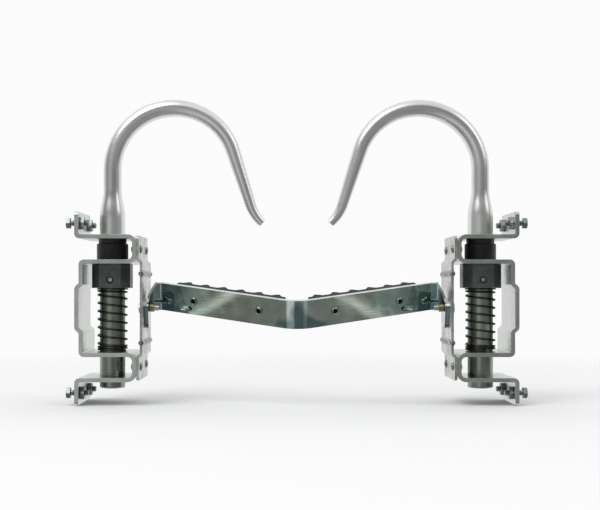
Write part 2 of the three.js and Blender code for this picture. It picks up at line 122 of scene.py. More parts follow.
# GAP lies between faces that rest on each other. FIT is the play round what passes through a hole.
# THROUGH is far enough to cut right through a plate. AXIAL is the radius of a ring that closes an end.
GAP = 0.1
FIT = 0.3
THROUGH = 5
AXIAL = 0.01
STRIP = 3.2
TIGHT_BEND = 2.4
BOX_BEND = 5.4
OUTER_PLATE = 55.4
INNER_PLATE = 36
BOX_WALL = 125.3
OFFSET_WALL = 166.5
JOGGLE = (18.5, 15.5)
CORNER_ROUND = 3
HALF_DEPTH = BRACKET_HIGH.y
RAIL_FACE = BRACKET_HIGH.x
TAB_TOP = BRACKET_HIGH.z
BOLT_RADIUS = 2.4
BOLT_FLATS = 8
BOLT_HEAD = 3.2
NUT_FLATS = 9.5

# A hexagon's chamfer starts at a circle with a radius of HEX_CIRCLE times its flats and slopes by HEX_SLOPE.
HEX_CIRCLE = 0.475
HEX_SLOPE = 0.5
THREAD_PITCH = 0.9
THREAD_DEPTH = 0.45

BRIDGE = 2
BRIDGE_TOP = PLATE_HIGH.z
BRIDGE_OUTER = PLATE_HIGH.x - BRIDGE / 2
BRIDGE_INNER = BRIDGE_OUTER - 2.7
BRIDGE_JOGGLE = (INNER_PLATE + 2, INNER_PLATE - 0.7)
BRIDGE_BEND = 2
BARREL_HEIGHT = 26.7
BARREL_RADIUS = 2.1
BARREL_BORE = 1
CROSS_PIN_RADIUS = 0.9
CROSS_PIN_HEAD = 1.2
RIVET_RADIUS = 2.3
RIVET_HOLLOW = 1.7
HOLLOW_DEPTH = 4
RIVET_SEAT = 1.2
RIVET_HEAD = 2

SHAFT_AXIS = (SHAFT_LOW.x + SHAFT_HIGH.x) / 2
SHAFT_RADIUS = (SHAFT_HIGH.x - SHAFT_LOW.x) / 2
SPIGOT_RADIUS = 6
SPIGOT_LENGTH = 22
ARCH_FOOT = 109.3
ARCH_RADIUS = 49
ARCH_TURN = math.radians(162)
TIP_RUN = 45
TIP_BEND = 34
TIP_TURN = math.radians(30)
SHOULDER_HEIGHT = 72
NECK_HEIGHT = 93
NECK_RADIUS = 7
CROWN_RADIUS = 6.75
ARCH_END_RADIUS = 5.8
TIP_RADIUS = 4.4
END_RADIUS = 3.3
END_CHAMFER = 0.35
SHAFT_BORE = SHAFT_RADIUS + 0.2
BUSHING_STEP = 3.2
BUSHING_NECK = 11
BLOCK_CHAMFER = 6.5
SCREW_RADIUS = 2
COUNTERBORE_RADIUS = 3
COUNTERBORE_DEPTH = 2
SLOT_WIDTH = 0.7
SLOT_REACH = 1.35
SLOT_DEPTH = 1

WIRE = 1.6
ACTIVE_TURNS = 6.5
BOTTOM_TURNS = 2.2
TOP_TURNS = 0.8
CLOSED_PITCH = 1.75
SPRING_START = {"left": math.radians(342), "right": math.radians(283)}

PIVOT_LOW, PIVOT_HIGH = span("right_pivot_pin")
PIVOT_Y = (PIVOT_LOW.y + PIVOT_HIGH.y) / 2
PIVOT_RADIUS = 2.2
PIVOT_FLATS = 7.9
PIVOT_HEAD = 2.8
TAB_INNER = span("right_pivot_collar")[1].x + GAP

RUNG_TILT = math.radians(17)
RUNG_TOP = 17.6
RUNG_BOTTOM = -4.6
RUNG_MIDDLE = (RUNG_TOP + RUNG_BOTTOM) / 2
RUNG_PANEL = 10.5
ARM_END = 106
ARM_ANGLE = math.radians(25)
APEX = RUNG_PANEL - ARM_END * math.tan(ARM_ANGLE)
APEX_BEND = 27
END_BEND = 7
ARM_BEND = 8
TAB_FRONT = -9
TAB_EDGE = 6.2
TAB_BOTTOM = -15
TAB_ROUNDS = (6, 5, 3)
SLOPE_START = 109.3
SLOPE_TURN = math.radians(35)
SLOPE_FALL = 1.42
PAD_START = 12.4
PAD_LENGTH = 92.6
PAD_BASE = 4.5
RIB_HEIGHT = 3.8
RIB_COUNT = 6
RIB_SHARE = 0.68
WASHER_WELL = 4.8
PAD_BOTTOM = -4
PAD_RIVETS = {"inner": 31, "outer": 88}
WASHER_SEAT = 3


# ---- shapes: lists of points in millimetres and faces ----


def tube_faces(count, sides, ring_shaped=False):
    """Faces between rings of points. The last ring meets the first, or both ends are closed."""
    faces = []
    for i in range(count if ring_shaped else count - 1):
        low = i * sides
        high = (i + 1) % count * sides
        for j in range(sides):
            k = (j + 1) % sides
            faces.append((low + j, low + k, high + k, high + j))
    if not ring_shaped:
        faces.append(tuple(reversed(range(sides))))
        faces.append(tuple(range((count - 1) * sides, count * sides)))
    return faces


def revolve(rings, sides=48, ring_shaped=False):
    """A body turned about Z. Each ring is (radius, height), or a function of the angle that gives both."""
    points = []
    for ring in rings:
        for j in range(sides):
            angle = 2 * math.pi * j / sides
            radius, height = ring(angle) if callable(ring) else ring
            points.append(Vector((radius * math.cos(angle), radius * math.sin(angle), height)))
    return points, tube_faces(len(rings), sides, ring_shaped)


def prism(outline, low, high, axis="z"):
    """An outline with a depth. It is drawn in XY for axis z, in XZ for axis y and in YZ for axis x."""
    place = {
        "x": lambda a, b, depth: Vector((depth, a, b)),
        "y": lambda a, b, depth: Vector((a, depth, b)),
        "z": lambda a, b, depth: Vector((a, b, depth)),
    }[axis]
    count = len(outline)
    points = [place(a, b, depth) for depth in (low, high) for a, b in outline]
    faces = [(i, (i + 1) % count, (i + 1) % count + count, i + count) for i in range(count)]
    faces += [tuple(reversed(range(count))), tuple(range(count, 2 * count))]
    return points, faces


def bar(radius, low, high, axis, at=(0, 0, 0), sides=40):
    """A round bar along an axis through a point."""
    shape = laid(revolve([(radius, low), (radius, high)], sides), axis)
    return moved(shape, at)


def laid(shape, axis):
    """Turns a shape that stands along Z so that it lies along another axis."""
    turn = {"x": (2, 0, 1), "y": (1, 2, 0), "z": (0, 1, 2)}[axis]
    points, faces = shape
    return [Vector([p[i] for i in turn]) for p in points], faces


def moved(shape, at):
    """A shape with its origin moved to a point."""
    points, faces = shape
    return [p + Vector(at) for p in points], faces


def transformed(shape, matrix):
    """A shape turned and moved by a matrix."""
    points, faces = shape
    return [matrix @ p for p in points], faces


def together(shapes):
    """Several shapes as one."""
    points = []
    faces = []
    for more_points, more_faces in shapes:
        faces += [tuple(i + len(points) for i in face) for face in more_faces]
        points += more_points
    return points, faces


def arc(centre, radius, start, end, steps=8):
    """Points on an arc, with its angles in degrees."""
    angles = [math.radians(start + (end - start) * k / steps) for k in range(steps + 1)]
    return [(centre[0] + radius * math.cos(a), centre[1] + radius * math.sin(a)) for a in angles]


def strip_outline(corners, thick, steps=8):
    """Side view of a bent strip. Each corner is (x, y, bend radius to the strip's middle)."""
    points = [Vector(c[:2]) for c in corners]
    left = []
    right = []

    def put(point, normal):
        left.append(tuple(point + normal * thick / 2))
        right.append(tuple(point - normal * thick / 2))

    def normal_of(a, b):
        return Vector((a.y - b.y, b.x - a.x)).normalized()

    put(points[0], normal_of(points[0], points[1]))
    for i in range(1, len(points) - 1):
        before = normal_of(points[i - 1], points[i])
        after = normal_of(points[i], points[i + 1])
        turn = math.atan2(before.x * after.y - before.y * after.x, before.dot(after))
        radius = math.copysign(corners[i][2], turn)
        centre = points[i] + (before + after).normalized() * radius / math.cos(turn / 2)
        for k in range(steps + 1):
            normal = Matrix.Rotation(turn * k / steps, 2) @ before
            put(centre - normal * radius, normal)
    put(points[-1], normal_of(points[-2], points[-1]))
    return left + right[::-1]


def mirrored_below(corners):
    """The corners of a strip's upper half, followed by their mirror image."""
    return corners + [(x, -z, radius) for x, z, radius in reversed(corners)]


def corner_cutters(top, low, high):
    """Four bodies that round the corners of a plate seen along X."""
    cutters = []
    side_out = HALF_DEPTH + THROUGH
    top_out = top + THROUGH
    for side in (1, -1):
        for up in (1, -1):
            middle = (HALF_DEPTH - CORNER_ROUND, top - CORNER_ROUND)
            quarter = arc(middle, CORNER_ROUND, 0, 90, 6) + [(middle[0], top_out)]
            quarter += [(side_out, top_out), (side_out, middle[1])]
            cutters.append(prism([(side * y, up * z) for y, z in quarter], low, high, "x"))
    return cutters


def hex_radius(flats, angle):
    """Distance from the middle to the edge of a hexagon."""
    return flats / 2 / math.cos((angle % (math.pi / 3)) - math.pi / 6)


def hex_rings(flats, low, high, chamfer_low=True):
    """Rings of a hexagonal body whose ends are chamfered to a circle."""
    circle = HEX_CIRCLE * flats

    def edge(height, inward):
        return lambda angle: (
            hex_radius(flats, angle),
            height + inward * HEX_SLOPE * (hex_radius(flats, angle) - circle),
        )

    bottom = [(circle, low), edge(low, 1)] if chamfer_low else [edge(low, 0)]
    return bottom + [edge(high, -1), (circle, high)]


def thread_rings(radius, low, high):
    """Rings of a screw thread."""
    per_pitch = 5
    count = math.ceil((high - low) / THREAD_PITCH * per_pitch)

    def ring(height):
        def place(angle):
            turn = (height / THREAD_PITCH - angle / (2 * math.pi)) % 1
            return radius - THREAD_DEPTH * abs(2 * turn - 1), height

        return place

    return [ring(low + (high - low) * k / count) for k in range(count + 1)]


# ---- from shapes to pieces ----

BEVEL_SEGMENTS = 3
SHARP_ANGLE = math.radians(38)


def mesh_object(name, shape, side=1):
    """A mesh in metres with its faces turned outwards. A side of -1 mirrors it."""
    points, faces = shape
    mesh = bpy.data.meshes.new(name)
    mesh.from_pydata([(p.x * side * MM, p.y * MM, p.z * MM) for p in points], [], faces)
    editable = bmesh.new()
    editable.from_mesh(mesh)
    bmesh.ops.recalc_face_normals(editable, faces=editable.faces)
    editable.to_mesh(mesh)
    editable.free()
    obj = bpy.data.objects.new(name, mesh)
    bpy.context.scene.collection.objects.link(obj)
    return obj


def apply_modifiers(obj):
    """Replaces an object's mesh with what its modifiers make of it."""
    bpy.context.view_layer.update()
    graph = bpy.context.evaluated_depsgraph_get()
    made = bpy.data.meshes.new_from_object(obj.evaluated_get(graph))
    old = obj.data
    obj.modifiers.clear()
    obj.data = made
    bpy.data.meshes.remove(old)


def carve(obj, shapes, side=1, operation="DIFFERENCE"):
    """Cuts the shapes out of the piece, joins them to it, or keeps only what lies inside them."""
    cutter = mesh_object("cutter", together(shapes), side)
    modifier = obj.modifiers.new("carve", "BOOLEAN")
    modifier.operation = operation
    modifier.solver = "EXACT"
    modifier.use_self = True
    modifier.object = cutter
    apply_modifiers(obj)
    bpy.data.objects.remove(cutter)


def soften(obj, width):
    """Rounds the piece's sharp edges and keeps its flats flat."""
    if width > 0:
        bevel = obj.modifiers.new("bevel", "BEVEL")
        bevel.width = width * MM
        bevel.segments = BEVEL_SEGMENTS
        bevel.limit_method = "ANGLE"
        bevel.angle_limit = SHARP_ANGLE
        apply_modifiers(obj)
    obj.data.shade_smooth()
    obj.data.set_sharp_from_angle(angle=SHARP_ANGLE)
    weighted = obj.modifiers.new("normals", "WEIGHTED_NORMAL")
    weighted.keep_sharp = True
    apply_modifiers(obj)


def finish(obj, node, look, body, edge=0.0):
    """Rounds a piece's edges, gives it its look and puts it in the frame in place of its CAD node."""
    material, slot = look
    soften(obj, edge)
    obj.data.materials.clear()
    obj.data.materials.append(material)
    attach(obj, body)
    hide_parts(node)
    return obj


def piece(node, shape, side, look, body, edge=0.0, cuts=()):
    """A finished piece from one shape and what is cut out of it."""
    obj = mesh_object(f"{node}_fine", shape, side)
    if cuts:
        carve(obj, cuts, side)
    return finish(obj, node, look, body, edge)


# ---- materials ----

SCRATCH_SCALE = 90
SCRATCH_EDGE = (0.63, 0.68)
GRAIN_WEAR = 0.4
# Painted shade on and beside the barrels of a bridge plate: how far it reaches and its colour.
BARREL_SHADE_REACH = (1.4 * MM, 3.2 * MM)
BARREL_SHADE = (0.16, 0.155, 0.145)
STAIN = (0.55, 0.53, 0.48)
WHITE = (1, 1, 1)

# Tints of the V-rung's zinc plate with painted reflections, from its middle to its ends: darker at the apex
# and the end bends, lighter in bands along the arms.
TINT_AND_REFLECTION_LENGTH = 0.12
TINT_AND_REFLECTION_WAVE = 0.018
ZINC_TINT_AND_REFLECTION_STOPS = [
    (0.0, (0.3, 0.42, 0.42)),
    (0.08, (0.8, 0.84, 0.82)),
    (0.35, (0.74, 0.77, 0.66)),
    (0.5, (0.6, 0.7, 0.62)),
    (0.64, (0.88, 1.0, 0.94)),
    (0.78, (0.56, 0.76, 0.72)),
    (0.88, (0.38, 0.56, 0.62)),
    (1.0, (0.42, 0.48, 0.49)),
]


def new_material(name, **values):
    """A material whose shader has the given constants. Returns it with its tree and shader."""
    material = bpy.data.materials.new(name)
    material.use_nodes = True
    tree = material.node_tree
    shader = tree.nodes["Principled BSDF"]
    for socket, value in values.items():
        shader.inputs[socket.replace("_", " ")].default_value = value
    return material, tree, shader


def noise(tree, scale, detail=3, stretch=(1, 1, 1), roughness=0.5, distortion=0):
    """Noise in object space, with its scale in features per metre."""
    coordinates = tree.nodes.new("ShaderNodeTexCoord")
    mapping = tree.nodes.new("ShaderNodeMapping")
    mapping.inputs["Scale"].default_value = [scale * s for s in stretch]
    texture = tree.nodes.new("ShaderNodeTexNoise")
    texture.inputs["Scale"].default_value = 1
    texture.inputs["Detail"].default_value = detail
    texture.inputs["Roughness"].default_value = roughness
    texture.inputs["Distortion"].default_value = distortion
    tree.links.new(coordinates.outputs["Object"], mapping.inputs["Vector"])
    tree.links.new(mapping.outputs["Vector"], texture.inputs["Vector"])
    return texture.outputs["Fac"]


def spread(tree, value, low, high, from_low=0.3, from_high=0.7):
    """Maps a value to a new range."""
    node = tree.nodes.new("ShaderNodeMapRange")
    ends = {"From Min": from_low, "From Max": from_high, "To Min": low, "To Max": high}
    for socket, number in ends.items():
        node.inputs[socket].default_value = number
    tree.links.new(value, node.inputs["Value"])
    return node.outputs["Result"]


def mixed(tree, value, stops):
    """Colours along a value; stops are (place, colour)."""
    node = tree.nodes.new("ShaderNodeValToRGB")
    elements = node.color_ramp.elements
    while len(elements) < len(stops):
        elements.new(0.5)
    for element, (place, colour) in zip(elements, stops):
        element.position = place
        element.color = (*colour, 1)
    tree.links.new(value, node.inputs["Fac"])
    return node.outputs["Color"]


def combine(tree, operation, a, b=0):
    """One step of arithmetic on two values, each a number or a socket."""
    node = tree.nodes.new("ShaderNodeMath")
    node.operation = operation
    for socket, value in zip(node.inputs, (a, b)):
        if isinstance(value, (int, float)):
            socket.default_value = value
        else:
            tree.links.new(value, socket)
    return node.outputs[0]


def multiply(tree, colour, factor):
    """One colour darkened or tinted by another."""
    node = tree.nodes.new("ShaderNodeMix")
    node.data_type = "RGBA"
    node.blend_type = "MULTIPLY"
    node.inputs["Factor"].default_value = 1
    tree.links.new(colour, node.inputs["A"])
    tree.links.new(factor, node.inputs["B"])
    return node.outputs["Result"]


def position(tree, kind="Object"):
    """The x, y and z of a kind of texture coordinate."""
    coordinates = tree.nodes.new("ShaderNodeTexCoord")
    split = tree.nodes.new("ShaderNodeSeparateXYZ")
    tree.links.new(coordinates.outputs[kind], split.inputs["Vector"])
    return [split.outputs[axis] for axis in "XYZ"]


def raise_surface(tree, shader, height, depth):
    """Bump from a height between 0 and 1, with its depth in millimetres."""
    node = tree.nodes.new("ShaderNodeBump")
    node.inputs["Distance"].default_value = depth * MM
    tree.links.new(height, node.inputs["Height"])
    tree.links.new(node.outputs["Normal"], shader.inputs["Normal"])


def scratches(tree, stretch):
    """Thin streaks: 1 on a scratch and 0 beside it."""
    streaks = noise(tree, SCRATCH_SCALE, detail=2, stretch=stretch)
    return spread(tree, streaks, 0, 1, *SCRATCH_EDGE)


def metal(
    name, dark, light, rough, grain, grain_depth, blotch=60, scratch=(1, 1, 1), worn=0.12, tint=None
):
    """Bare or plated metal: cloudy colour, directional grain and scratches, which are rougher by worn."""
    material, tree, shader = new_material(name, Metallic=1.0)
    clouds = noise(tree, blotch, detail=4)
    colour = mixed(tree, clouds, [(0.3, dark), (0.7, light)])
    # This pass adds stains and plating colours, and also painted shade on the bridge plate and painted
    # reflections and a painted highlight on the V-rung.
    if tint:
        colour = tint(tree, colour)
    tree.links.new(colour, shader.inputs["Base Color"])
    lines = noise(tree, 1, detail=2, stretch=grain)
    marks = scratches(tree, scratch)
    base = spread(tree, clouds, rough[0], rough[1])
    roughness = combine(tree, "ADD", base, combine(tree, "MULTIPLY", marks, worn))
    uneven = spread(tree, lines, -GRAIN_WEAR * worn, GRAIN_WEAR * worn)
    roughness = combine(tree, "ADD", roughness, uneven)
    tree.links.new(roughness, shader.inputs["Roughness"])
    raise_surface(tree, shader, combine(tree, "SUBTRACT", lines, marks), grain_depth)
    return material


def barrel_shade_and_stains(tree, colour):
    """Painted shade, dark on and beside the two barrels of a bridge plate, and stains over the rest of it."""
    height = combine(tree, "ABSOLUTE", position(tree)[2])
    away = combine(tree, "ABSOLUTE", combine(tree, "SUBTRACT", height, BARREL_HEIGHT * MM))
    # Painted shade: the colour is darkened on and beside each barrel.
    barrel_shade_mask = spread(tree, away, 1, 0, *BARREL_SHADE_REACH)
    broken = combine(tree, "MULTIPLY", barrel_shade_mask, spread(tree, noise(tree, 260, detail=2), 0.35, 1))
    colour = multiply(tree, colour, mixed(tree, broken, [(0, WHITE), (1, BARREL_SHADE)]))
    stains = noise(tree, 75, detail=5, roughness=0.7)
    return multiply(tree, colour, mixed(tree, stains, [(0.35, STAIN), (0.6, WHITE)]))


def zinc_tints(tree, colour):
    """Blue-green plating at the ends of the V-rung and grey-green along its arms, with painted reflections:
    darker at the apex and the end bends, lighter in bands along the arms. The top edge keeps the plain colour
    as a painted highlight.
    """
    away = combine(tree, "ABSOLUTE", position(tree)[0])
    waves = noise(tree, 24, detail=1, stretch=(1, 1, 1.8), distortion=0.8)
    waved = combine(tree, "ADD", away, spread(tree, waves, -TINT_AND_REFLECTION_WAVE, TINT_AND_REFLECTION_WAVE))
    place = spread(tree, waved, 0, 1, 0, TINT_AND_REFLECTION_LENGTH)
    tints = tree.nodes.new("ShaderNodeMix")
    tints.data_type = "RGBA"
    tints.inputs["B"].default_value = (*WHITE, 1)
    # Painted highlight: faces that look upwards keep the plain colour, so the top edge is lighter.
    tree.links.new(spread(tree, position(tree, "Normal")[2], 0, 1), tints.inputs["Factor"])
    # Painted reflections: the stops are darker at the apex and the end bends and lighter in bands along the
    # arms, over the plating's own colour.
    tree.links.new(mixed(tree, place, ZINC_TINT_AND_REFLECTION_STOPS), tints.inputs["A"])
    return multiply(tree, colour, tints.outputs["Result"])


def moulded(name, colour, pale, rough, grain, depth):
    """Moulded black plastic or rubber with a fine grain and pale scuffs."""
    material, tree, shader = new_material(name, Metallic=0.0)
    dust = noise(tree, 120, detail=5, roughness=0.65)
    tree.links.new(mixed(tree, dust, [(0.42, colour), (0.75, pale)]), shader.inputs["Base Color"])
    tree.links.new(spread(tree, dust, rough[0], rough[1]), shader.inputs["Roughness"])
    raise_surface(tree, shader, noise(tree, grain, detail=2), depth)
    return material


def fastener_metal(name, dark, light, rough, blotch):
    """Metal of small turned pieces, with the same fine grain every way."""
    return metal(name, dark, light, rough, (700, 700, 700), 0.01, blotch, scratch=(5, 5, 5))


def look(slot, kind, **values):
    """A material with the slot that it belongs to."""
    return kind(slot, **values), slot


ALUMINIUM = look(
    "bracket_aluminium", metal, dark=(0.5, 0.52, 0.49), light=(0.68, 0.7, 0.67), rough=(0.2, 0.32),
    grain=(120, 2600, 120), grain_depth=0.012, scratch=(0.5, 9, 0.5),
)
PLATE = look(
    "bracket_aluminium", metal, dark=(0.6, 0.61, 0.59), light=(0.8, 0.81, 0.79), rough=(0.28, 0.45),
    grain=(1800, 90, 1800), grain_depth=0.015, blotch=260, scratch=(7, 0.6, 1.5), tint=barrel_shade_and_stains,
)
POLISHED = look(
    "hook_aluminium", metal, dark=(0.72, 0.72, 0.71), light=(0.84, 0.84, 0.83), rough=(0.3, 0.36),
    grain=(600, 600, 90), grain_depth=0.002, blotch=30, scratch=(6, 6, 0.6), worn=0.025,
)
SHAFT = look(
    "shaft_metal", metal, dark=(0.25, 0.28, 0.23), light=(0.36, 0.39, 0.33), rough=(0.26, 0.36),
    grain=(100, 100, 2400), grain_depth=0.008, scratch=(0.6, 0.6, 8),
)
ZINC = look(
    "zinc_plate", metal, dark=(0.62, 0.65, 0.64), light=(0.82, 0.85, 0.84), rough=(0.03, 0.06),
    grain=(60, 60, 1500), grain_depth=0.0004, blotch=90, scratch=(0.5, 0.5, 7), worn=0.04, tint=zinc_tints,
)
FASTENER = look(
    "zinc_plate", fastener_metal, dark=(0.46, 0.49, 0.5), light=(0.64, 0.67, 0.68), rough=(0.25, 0.4),
    blotch=400,
)
DARK_FASTENER = look(
    "zinc_plate", fastener_metal, dark=(0.2, 0.22, 0.21), light=(0.36, 0.39, 0.38), rough=(0.22, 0.36),
    blotch=400,
)
YELLOW = look(
    "yellow_zinc", fastener_metal, dark=(0.28, 0.24, 0.16), light=(0.45, 0.39, 0.27), rough=(0.25, 0.38),
    blotch=300,
)
SPRING = look(
    "spring_black", metal, dark=(0.035, 0.036, 0.038), light=(0.085, 0.086, 0.085), rough=(0.3, 0.45),
    grain=(600, 600, 600), grain_depth=0.01, blotch=200, scratch=(5, 5, 5),
)
PLASTIC = look(
    "black_plastic", moulded, colour=(0.012, 0.012, 0.013), pale=(0.03, 0.03, 0.031), rough=(0.4, 0.55),
    grain=2400, depth=0.02,
)
BLOCK = look(
    "black_plastic", moulded, colour=(0.07, 0.078, 0.074), pale=(0.14, 0.152, 0.146), rough=(0.3, 0.44),
    grain=2400, depth=0.02,
)
RUBBER = look(
    "pad_rubber", moulded, colour=(0.016, 0.016, 0.018), pale=(0.045, 0.045, 0.048), rough=(0.6, 0.85),
    grain=1500, depth=0.05,
)


# ---- bracket ----


def middle_of(node, side):
    """The middle of a CAD node in its own side's frame."""
    low, high = span(node, side)
    return (low + high) / 2


def hole_along_x(radius, x, node, side):
    """A hole through a plate at x, on the axis of the fastener in it."""
    at = middle_of(node, side)
    return bar(radius + FIT, -THROUGH, THROUGH, "x", (x, at.y, at.z), 28)


def rail_bracket(name, side):
    """A strip folded into an upper and a lower box, with its tabs and its offset wall on the rail's side."""
    rail_side = RAIL_FACE - STRIP / 2
    corners = mirrored_below(
        [
            (rail_side, TAB_TOP, 0),
            (rail_side, OUTER_PLATE, TIGHT_BEND),
            (BOX_WALL, OUTER_PLATE, BOX_BEND),
            (BOX_WALL, INNER_PLATE, BOX_BEND),
            (OFFSET_WALL, INNER_PLATE, TIGHT_BEND),
            (OFFSET_WALL, JOGGLE[0], TIGHT_BEND),
            (rail_side, JOGGLE[1], TIGHT_BEND),
        ]
    )
    folded = prism(strip_outline(corners, STRIP), -HALF_DEPTH, HALF_DEPTH, "y")
    axis = (SHAFT_AXIS, 0, 0)
    cuts = corner_cutters(TAB_TOP, RAIL_FACE - THROUGH, RAIL_FACE + THROUGH)
    cuts.append(bar(SHAFT_RADIUS + FIT, -TAB_TOP, INNER_PLATE + THROUGH, "z", axis))
    cuts.append(bar(BUSHING_NECK + FIT, OUTER_PLATE - THROUGH, OUTER_PLATE + THROUGH, "z", axis))
    for level in LEVELS:
        for face in FACES:
            cuts.append(hole_along_x(BOLT_RADIUS, RAIL_FACE, f"{name}_tab_bolt_{level}_{face}", side))
            cuts.append(hole_along_x(RIVET_RADIUS, BOX_WALL, f"{name}_bridge_rivet_{level}_{face}", side))
    piece(f"{name}_rail_bracket", folded, side, ALUMINIUM, "head_frame", edge=0.4, cuts=cuts)


def bridge_plate(name, side):
    """A thin plate from the upper box to the lower one, with two barrels across it."""
    corners = mirrored_below(
        [
            (BRIDGE_OUTER, BRIDGE_TOP, 0),
            (BRIDGE_OUTER, BRIDGE_JOGGLE[0], BRIDGE_BEND),
            (BRIDGE_INNER, BRIDGE_JOGGLE[1], BRIDGE_BEND),
        ]
    )
    node = f"{name}_bridge_plate"
    folded = prism(strip_outline(corners, BRIDGE), -HALF_DEPTH, HALF_DEPTH, "y")
    obj = mesh_object(f"{node}_fine", folded, side)
    barrels = []
    bore_end = HALF_DEPTH + THROUGH
    cuts = corner_cutters(BRIDGE_TOP, BRIDGE_OUTER - THROUGH, BRIDGE_OUTER + THROUGH)
    cuts.append(bar(PIVOT_RADIUS + FIT, -THROUGH, THROUGH, "x", (BRIDGE_INNER, PIVOT_Y, 0), 28))
    for up, level in zip((1, -1), LEVELS):
        at = (BRIDGE_INNER, 0, up * BARREL_HEIGHT)
        barrels.append(bar(BARREL_RADIUS, -HALF_DEPTH, HALF_DEPTH, "y", at, 32))
        cuts.append(bar(BARREL_BORE, -bore_end, bore_end, "y", at, 20))
        for face in FACES:
            cuts.append(hole_along_x(RIVET_RADIUS, BRIDGE_OUTER, f"{name}_bridge_rivet_{level}_{face}", side))
    carve(obj, barrels, side, "UNION")
    carve(obj, cuts, side)
    finish(obj, node, PLATE, "head_frame", edge=0.25)


# ---- fasteners: their rings are (radius, height) ----


def place_along_x(shape, node, side):
    """Puts a body that starts at height 0 on the axis of a CAD node, starting at its lowest x."""
    low, high = span(node, side)
    middle = (low + high) / 2
    return moved(laid(shape, "x"), (low.x, middle.y, middle.z))


def bridge_rivet(node, side):
    """Semi-tubular rivet: its rolled end on the plate and its domed head inside the box."""
    low, high = span(node, side)
    length = high.x - low.x
    hollow = RIVET_SEAT + HOLLOW_DEPTH
    head = length - RIVET_HEAD
    rings = [(AXIAL, hollow), (RIVET_HOLLOW, hollow), (RIVET_HOLLOW, 0.4), (1.9, 0.08), (2.2, 0)]
    rings += [(2.7, 0.15), (3.05, 0.6), (3.1, RIVET_SEAT)]
    rings += [(RIVET_RADIUS, RIVET_SEAT), (RIVET_RADIUS, head), (2.9, head)]
    dome = [math.radians(15 * k) for k in range(6)]
    rings += [(2.95 * math.cos(a), head + 0.3 + 1.65 * math.sin(a)) for a in dome]
    rings.append((AXIAL, length))
    piece(node, place_along_x(revolve(rings, 36), node, side), side, DARK_FASTENER, "head_frame")


def cross_pin(node, side):
    """A pin through a barrel, with a low head on both ends."""
    low, high = span(node, side)
    half = (high.y - low.y) / 2
    seat = half - CROSS_PIN_HEAD
    end = [(AXIAL, half), (1.3, half), (1.75, half - 0.2), (2.0, half - 0.6), (BARREL_RADIUS, seat)]
    end.append((CROSS_PIN_RADIUS, seat))
    rings = end + [(radius, -height) for radius, height in reversed(end)]
    shape = moved(laid(revolve(rings, 36), "y"), middle_of(node, side))
    piece(node, shape, side, DARK_FASTENER, "head_frame")


def tab_bolt(node, side):
    """A bolt whose thread points inwards, with its head beyond the rail's web."""
    low, high = span(node, side)
    length = high.x - low.x
    head = length - BOLT_HEAD
    shank = BOLT_RADIUS - 0.3
    rings = [(AXIAL, 0), (BOLT_RADIUS - 0.7, 0)]
    rings += thread_rings(BOLT_RADIUS, 0.4, head - 2)
    rings += [(shank, head - 1.6), (shank, head)]
    rings += hex_rings(BOLT_FLATS, head, length, chamfer_low=False) + [(AXIAL, length)]
    piece(node, place_along_x(revolve(rings, 36), node, side), side, DARK_FASTENER, "head_frame")


def tab_nut(node, side):
    """A hexagon nut on a tab bolt."""
    low, high = span(node, side)
    thick = high.x - low.x
    bore = BOLT_RADIUS + GAP
    rings = [(bore, thick), (bore, 0)] + hex_rings(NUT_FLATS, 0, thick)
    shape = place_along_x(revolve(rings, 36, ring_shaped=True), node, side)
    piece(node, shape, side, DARK_FASTENER, "head_frame")


def pivot_pin(node, side):
    """The V-rung's hinge pin, with a hexagon head at its outer end."""
    low, high = span(node, side)
    length = high.x - low.x
    head = length - PIVOT_HEAD
    rings = [(AXIAL, 0), (PIVOT_RADIUS - 0.6, 0), (PIVOT_RADIUS - 0.15, 0.4), (PIVOT_RADIUS, 0.8)]
    rings.append((PIVOT_RADIUS, head))
    rings += hex_rings(PIVOT_FLATS, head, length, chamfer_low=False) + [(AXIAL, length)]
    piece(node, place_along_x(revolve(rings, 48), node, side), side, FASTENER, "head_frame")


def pivot_collar(node, side):
    """A collar on the pivot pin, beside the V-rung's end tab."""
    low, high = span(node, side)
    length = high.x - low.x
    outer = (high.z - low.z) / 2
    bore = PIVOT_RADIUS + GAP
    chamfer = 0.4
    rings = [(bore, length), (bore, 0), (outer - chamfer, 0), (outer, chamfer)]
    rings += [(outer, length - chamfer), (outer - chamfer, length)]
    shape = place_along_x(revolve(rings, 40, ring_shaped=True), node, side)
    piece(node, shape, side, YELLOW, "head_frame")


# ---- hook column ----


def hook_line():
    """Points on the hook's middle line, as (distance, x, z, heading), from the foot of its spigot."""
    step = 1.5
    moves = [
        (ARCH_FOOT - SHAFT_HIGH.z + SPIGOT_LENGTH, 0),
        (ARCH_RADIUS * ARCH_TURN, ARCH_TURN),
        (TIP_RUN, 0),
        (TIP_BEND * TIP_TURN, -TIP_TURN),
    ]
    x, z, heading, distance = 0.0, SHAFT_HIGH.z - SPIGOT_LENGTH, math.pi / 2, 0.0
    line = [(distance, x, z, heading)]
    for length, turn in moves:
        count = math.ceil(length / step)
        for _ in range(count):
            heading += turn / count / 2
            x += length / count * math.cos(heading)
            z += length / count * math.sin(heading)
            heading += turn / count / 2
            distance += length / count
            line.append((distance, x, z, heading))
    return line


def between(stations, place):
    """Value at a place along a list of (place, value)."""
    for (start, first), (end, second) in zip(stations, stations[1:]):
        if place <= end:
            return first + (second - first) * (place - start) / (end - start)
    return stations[-1][1]


